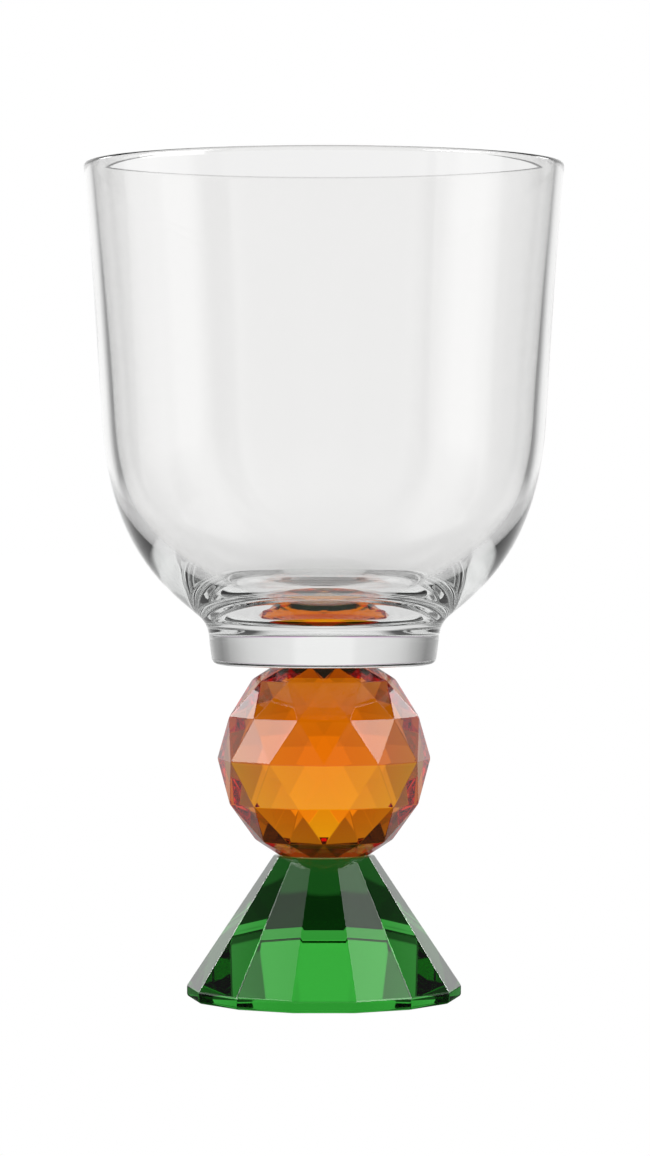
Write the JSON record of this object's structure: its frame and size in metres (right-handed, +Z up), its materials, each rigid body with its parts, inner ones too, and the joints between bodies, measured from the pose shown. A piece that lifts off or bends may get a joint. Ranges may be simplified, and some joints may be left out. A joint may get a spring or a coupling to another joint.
{
  "type": "crystal goblet",
  "caption": "Stemmed drinking glass: a clear open bowl with a thick base disc, on a faceted amber ball and a faceted green foot that stands on a table.",
  "frame": {"origin": "middle of the foot's underside", "axes": "+Z up the stem to the rim, -Y to the front, where a side of the foot and a corner of the ball look out"},
  "size_m": [0.0902, 0.0902, 0.1571],
  "materials": {
    "clear_glass": "clear, fire polished",
    "clear_bond": "clear cured adhesive",
    "amber_glass": "cut and polished facets",
    "green_glass": "cut and polished facets"
  },
  "bodies": {
    "root": {"bowl": "clear_glass", "bowl_bond": "clear_bond", "amber_ball": "amber_glass", "foot_bond": "clear_bond", "green_foot": "green_glass"}
  },
  "joints": []
}
